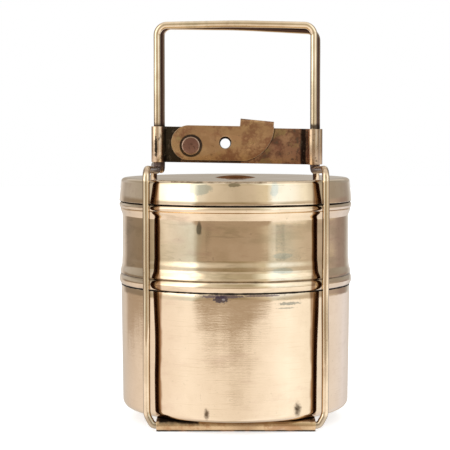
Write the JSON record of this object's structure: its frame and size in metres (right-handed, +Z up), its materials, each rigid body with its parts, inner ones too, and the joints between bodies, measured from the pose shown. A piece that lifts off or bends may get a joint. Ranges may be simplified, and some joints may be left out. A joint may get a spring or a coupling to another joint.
{
  "type": "tiffin carrier",
  "caption": "Stacked round brass food containers with a lid, held between hinged wire bails that form a carrying handle and lock with a clasp plate and lever.",
  "frame": {"origin": "on the containers' common axis, at the height that the base knuckles stand on", "axes": "+Z up along the containers' axis, +X along the base knuckles towards the lever's free end, -Y towards the side that carries the lever"},
  "size_m": [0.1292, 0.1292, 0.2203],
  "materials": {
    "container_brass": "polished, worn, with fine scratches and faint stains",
    "lid_brass": "polished, worn, with fine scratches",
    "wire_brass": "drawn wire, rubbed bright on the outside and dull in the corners",
    "frame_brass": "rolled sheet, rubbed bright, stained at its lower edge",
    "clasp_bronze": "brown aged sheet, mottled",
    "lever_bronze": "brown aged sheet with worn bright edges",
    "rivet_copper": "reddish aged copper alloy, hammered head",
    "washer_dark": "blackened",
    "boss_dark": "dull, darkened"
  },
  "bodies": {
    "base": {"base_plate": "frame_brass"},
    "front_bail": {"front_bail_wire": "wire_brass", "front_clasp_plate": "clasp_bronze", "lever_rivet": "rivet_copper", "rivet_washer": "washer_dark"},
    "rear_bail": {"rear_bail_wire": "wire_brass", "rear_clasp_plate": "clasp_bronze"},
    "lever": {"lock_lever": "lever_bronze"},
    "lower_container": {"lower_container": "container_brass"},
    "upper_container": {"upper_container_wall": "container_brass", "upper_container_pan": "container_brass"},
    "lid": {"lid": "lid_brass", "lid_boss": "boss_dark"}
  },
  "joints": [
    {"name": "front_bail_swing", "type": "hinge", "parent": "base", "child": "front_bail", "pos_m": [0, -0.0476, 0.00331], "axis": [1, 0, 0], "range_deg": [0, 90]},
    {"name": "rear_bail_swing", "type": "hinge", "parent": "base", "child": "rear_bail", "pos_m": [0, 0.0476, 0.00331], "axis": [-1, 0, 0], "range_deg": [0, 90]},
    {"name": "lever_swing", "type": "hinge", "parent": "front_bail", "child": "lever", "pos_m": [-0.0247, 0, 0.1512], "axis": [0, -1, 0], "range_deg": [0, 80]},
    {"name": "lower_container_lift", "type": "slide", "parent": "base", "child": "lower_container", "axis": [0, 0, 1], "range_m": [0, 0.0063]},
    {"name": "upper_container_lift", "type": "slide", "parent": "lower_container", "child": "upper_container", "axis": [0, 0, 1], "range_m": [0, 0.0142]},
    {"name": "lid_lift", "type": "slide", "parent": "upper_container", "child": "lid", "axis": [0, 0, 1], "range_m": [0, 0.0173]}
  ],
  "couplings": [
    {"joint": "rear_bail_swing", "follows": "front_bail_swing", "ratio": 1},
    {"joint": "lower_container_lift", "follows": "front_bail_swing", "m_per_rad": 0.004},
    {"joint": "upper_container_lift", "follows": "front_bail_swing", "m_per_rad": 0.009},
    {"joint": "lid_lift", "follows": "front_bail_swing", "m_per_rad": 0.011}
  ]
}
